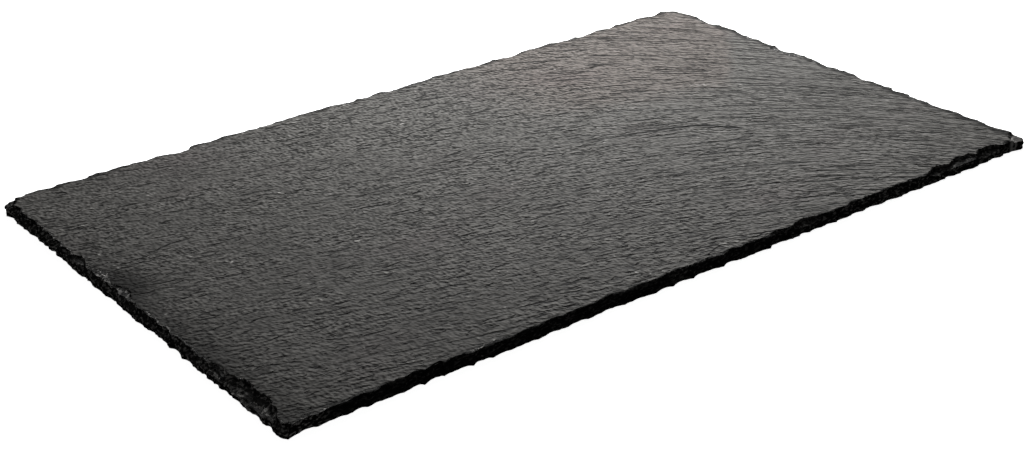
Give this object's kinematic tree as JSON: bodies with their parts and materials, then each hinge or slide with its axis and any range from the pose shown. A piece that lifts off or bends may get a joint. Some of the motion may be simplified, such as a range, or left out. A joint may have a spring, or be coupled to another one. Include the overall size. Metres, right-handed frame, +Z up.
{
  "type": "slate serving board",
  "caption": "Flat rectangular slab of natural slate with a riven top and hand-chipped edges, for serving food.",
  "frame": {"origin": "middle of the flat underside, on the surface that the board rests on", "axes": "+X along the long sides, +Y across the board from the front long side to the back one, +Z up out of the riven top"},
  "size_m": [0.53, 0.328, 0.0085],
  "materials": {
    "slate": "split natural slate, dark grey, matt with fine glints, near black on the broken edges"
  },
  "bodies": {
    "root": {"slate_board": "slate"}
  },
  "joints": []
}
